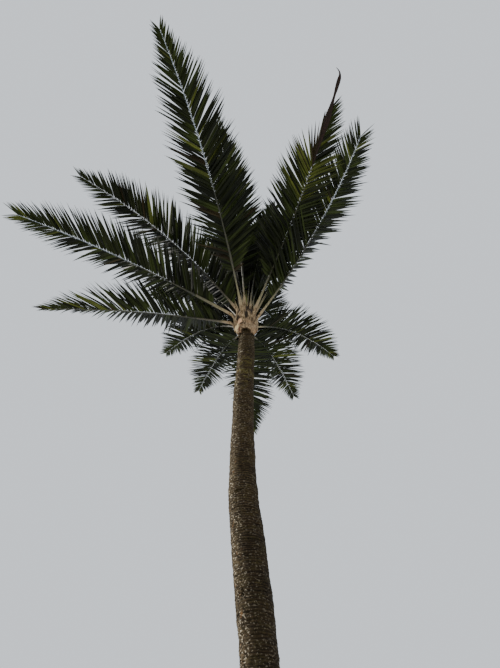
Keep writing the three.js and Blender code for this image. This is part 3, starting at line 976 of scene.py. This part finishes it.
def leafletLength(frond, t, fromStart):
    length = leaflets["length"] * youth(frond) * math.sin(math.pi * (0.22 + 0.64 * t**0.84))
    length *= mix(1, frond.get("tip", leaflets["tip"]), smooth(t, leaflets["tipFrom"], 1))
    early = smooth(fromStart, -0.01, leaflets["startReach"])
    return length * mix(leaflets["startLength"], 1, early) * frond.get("long", 1)


def leafletTint(frond, t, i, dealt, dried):
    paleFrom, paleTo = frond.get("pale", (2, 2))
    if dried:
        return tintPlaces["brown"]
    if paleFrom < t < paleTo and i % 3:
        return tintPlaces["olive"]
    if dealt == tintPlaces["olive"] and t < leaflets["oliveFrom"]:
        return tintPlaces["mid"]
    # thin leaflets near the tip take a paler tint: painted light showing through them
    if t > leaflets["tipLightFrom"] and i % 2:
        return max(dealt, tintPlaces["mid"])
    return dealt


def frondBlades(frond):
    blades = []
    count = leaflets["perSide"]
    chances = np.array([facts["share"] for facts in tints.values()])
    first = frond.get("bare", leaflets["from"])
    for sign in (1, -1):
        tufts = np.repeat(np.arange(count), rng.integers(1, leaflets["tuftSize"] + 1, count))[:count]
        tuftTurns = rng.uniform(-1, 1, count) * leaflets["tuftTurn"]
        tuftTints = rng.choice(len(tints), count, p=chances / chances.sum())
        share = mix(first, rib["endShare"], ((np.arange(count) + 0.5) / count) ** leaflets["crowding"])
        # those of a tuft stand closer together
        for tuft in range(tufts[-1] + 1):
            own = tufts == tuft
            share[own] = mix(share[own], share[own].mean(), leaflets["tuftPull"])
        at, ahead, side, up = ribFrame(frond, share)
        width, thickness = ribSize(frond, share)
        for i in range(count):
            t = max((share[i] - rib["petioleShare"]) / (rib["endShare"] - rib["petioleShare"]), 0)
            angle = leafletAngle(frond, t, sign) + tuftTurns[tufts[i]]
            angle = math.radians(angle + rng.uniform(-1, 1) * leaflets["leafletTurn"])
            spread = leaflets["leafletLift"] * (1 - 0.75 * t)
            lift = mix(leaflets["footLift"], leaflets["tipLift"], t) + spread * rng.uniform(-1, 1)
            lift = math.radians(lift)
            length = leafletLength(frond, t, share[i] - first) * rng.uniform(*leaflets["lengthSpread"])
            dried = "folded" in frond and t > 0.5 and math.degrees(angle) < leaflets["driedBelow"]
            if dried:
                length *= mix(1, leaflets["driedLength"], smooth(t, 0.7, 1))
            across = side[i] * sign * math.cos(lift) + up[i] * math.sin(lift)
            direction = ahead[i] * math.cos(angle) + across * math.sin(angle)
            face = unit(up[i] - direction * np.dot(up[i], direction))
            wide = np.cross(direction, face)
            roll = math.radians(sign * leaflets["roll"] + rng.uniform(-1, 1) * leaflets["rollSpread"])
            wideness = mix(leaflets["footWidth"], leaflets["tipWidth"], t**2)
            blades.append(
                {
                    "foot": at[i] + side[i] * sign * width[i] * 0.3 + up[i] * thickness[i] * 0.1,
                    "ahead": direction,
                    "wide": wide * math.cos(roll) - face * math.sin(roll),
                    "face": face * math.cos(roll) + wide * math.sin(roll),
                    "length": length,
                    "width": leaflets["width"] * wideness * rng.uniform(*leaflets["widthSpread"]),
                    "fold": rng.uniform(*leaflets["foldSpread"]),
                    "sag": rng.uniform(*leaflets["sagSpread"]),
                    "tint": leafletTint(frond, t, i, int(tuftTints[tufts[i]]), dried),
                }
            )
    return blades


def leafPaint(colour):
    def paint(w):
        patch = w.noise(2.2, 3.0)
        fine = w.noise(120.0, 2.0)
        lighter = tuple(min(c * 2.2, 1) for c in colour)
        darker = tuple(c * 0.4 for c in colour)
        base = patch.step(0.4, 0.68).blend(colour, lighter)
        return {
            "Base Color": (fine.step(0.5, 0.8) * 0.35).blend(base, darker),
            "Roughness": 0.45 + patch * 0.2,
            "Specular IOR Level": 0.1,
            "Normal": fine.bump(0.25, 0.002),
        }

    return paint


allBlades = [blade for frond in allFronds for blade in frondBlades(frond)]
for tint, facts in tints.items():
    chosen = [blade for blade in allBlades if blade["tint"] == tintPlaces[tint]]
    material = look(tint + "Leaflet", leafPaint(facts["colour"]))
    finishPiece(bladesPiece(tint + "Leaflets", chosen), material, "leaf", *fronds)
print("stage leaflets done")

# the dried tip of the half-open frond, its leaflets still folded together
foldedTip = {
    "frond": "frond_half_open",
    # how thick it is at shares of the rib; it runs on past the rib's end
    "shares": (0.7, 0.767, 0.81, 0.85, 0.9, 0.945, 0.985, 1.02, 1.05, 1.07, 1.1),
    "radii": (0.008, 0.013, 0.02, 0.03, 0.039, 0.026, 0.015, 0.023, 0.024, 0.012, 0.002),
    "pleats": 9,
    "pleatDepth": 0.2,
    "pleatTwist": 5,
    "flat": 0.7,
    "curlFrom": 1.055,
    "curl": 65,
    "stations": 64,
    "streaks": ((0.006, 0.0035, 0.0028), (0.026, 0.0125, 0.008)),
}


def buildFoldedTip():
    columns = foldedTip["pleats"] * 4
    frond = fronds[foldedTip["frond"]]
    first, last = foldedTip["shares"][0], foldedTip["shares"][-1]
    shares = np.linspace(first, last, foldedTip["stations"])
    at, ahead, side, up = ribFrame(frond, np.minimum(shares, 1))
    curl = np.radians(foldedTip["curl"]) * smooth(shares, foldedTip["curlFrom"], last)[:, None]
    ahead, side = ahead * np.cos(curl) - side * np.sin(curl), side * np.cos(curl) + ahead * np.sin(curl)
    past = np.diff(np.maximum(shares, 1), prepend=1)[:, None] * frond["length"]
    at = at + np.cumsum(ahead * past, axis=0)
    radius = along(foldedTip["shares"], foldedTip["radii"], shares)[:, None]
    angle = 2 * np.pi * np.arange(columns)[None, :] / columns
    turned = foldedTip["pleats"] * angle + foldedTip["pleatTwist"] * at[:, 2:]
    radius = radius * (1 - foldedTip["pleatDepth"] * (0.5 + 0.5 * np.cos(turned)))
    x, y = radius * np.cos(angle), radius * np.sin(angle) * foldedTip["flat"]
    return tubesPiece("foldedTip", [at[:, None] + side[:, None] * x[..., None] + up[:, None] * y[..., None]])


def foldedPaint(w):
    streak = w.noise(40.0, 3.0, (2.0, 2.0, 0.4))
    return {
        "Base Color": streak.step(0.35, 0.7).blend(*foldedTip["streaks"]),
        "Roughness": 0.6 + streak * 0.2,
        "Specular IOR Level": 0.15,
        "Normal": streak.bump(0.6, 0.003),
    }


finishPiece(buildFoldedTip(), look("driedLeaf", foldedPaint), "leaf", foldedTip["frond"])

# spear: the unopened leaf in the middle of the crown
spear = {
    "foot": 0.51,
    "length": 2.3,
    "radius": 0.017,
    "tipRadius": 0.002,
    "bend": -0.07,
    "ribs": 9,
    "groove": 0.72,
    "twist": 1.4,
    "stations": 40,
    "colour": (0.13, 0.14, 0.045),
}


def buildSpear():
    columns = spear["ribs"] * 2
    t = np.linspace(0, 1, spear["stations"])[:, None]
    angle = 2 * np.pi * np.arange(columns)[None, :] / columns
    groove = np.where(np.arange(columns) % 2 == 0, 1.0, spear["groove"])[None, :]
    radius = mix(spear["radius"], spear["tipRadius"], t**1.3) * groove
    turned = angle + spear["twist"] * t
    x = head["foot"][0] + spear["bend"] * t**2 + radius * np.cos(turned)
    y = radius * np.sin(turned)
    z = head["foot"][2] + spear["foot"] + spear["length"] * t + 0 * angle
    return tubesPiece("spearLeaf", [np.stack([x, y, z], -1)])


finishPiece(buildSpear(), look("spearLeaf", leafPaint(spear["colour"])), "spear", "spear_leaf")
print("stage spear done")

# floor, backdrop and light
stageLook = {"floor": (0.72, 0.72, 0.7), "sky": (0.86, 0.91, 0.97), "skyStrength": 1.0, "floorSize": 60}
lamps = {
    "key": {"from": (-10, 0.5, 8), "strength": 4.0, "angle": 12, "colour": (1, 0.95, 0.88)},
    "fill": {"from": (5, -9, 3), "strength": 0.4, "angle": 60, "colour": (0.95, 0.97, 1)},
}

bm = bmesh.new()
bmesh.ops.create_circle(bm, cap_ends=True, segments=96, radius=stageLook["floorSize"])
floorMesh = bpy.data.meshes.new("floor")
bm.to_mesh(floorMesh)
bm.free()
floor = addObject("floor", floorMesh)
floorPaint = {"Base Color": (*stageLook["floor"], 1), "Roughness": 0.9}
floorMesh.materials.append(look("floor", lambda w: floorPaint))

world = bpy.data.worlds.new("studio")
world.use_nodes = True
background = world.node_tree.nodes["Background"]
background.inputs["Color"].default_value = (*stageLook["sky"], 1)
background.inputs["Strength"].default_value = stageLook["skyStrength"]
bpy.context.scene.world = world

for name, facts in lamps.items():
    lamp = bpy.data.lights.new(name, "SUN")
    lamp.energy = facts["strength"]
    lamp.angle = math.radians(facts["angle"])
    lamp.color = facts["colour"]
    holder = addObject(name, lamp)
    holder.rotation_euler = Vector(facts["from"]).to_track_quat("Z", "Y").to_euler()
print("stage light done")
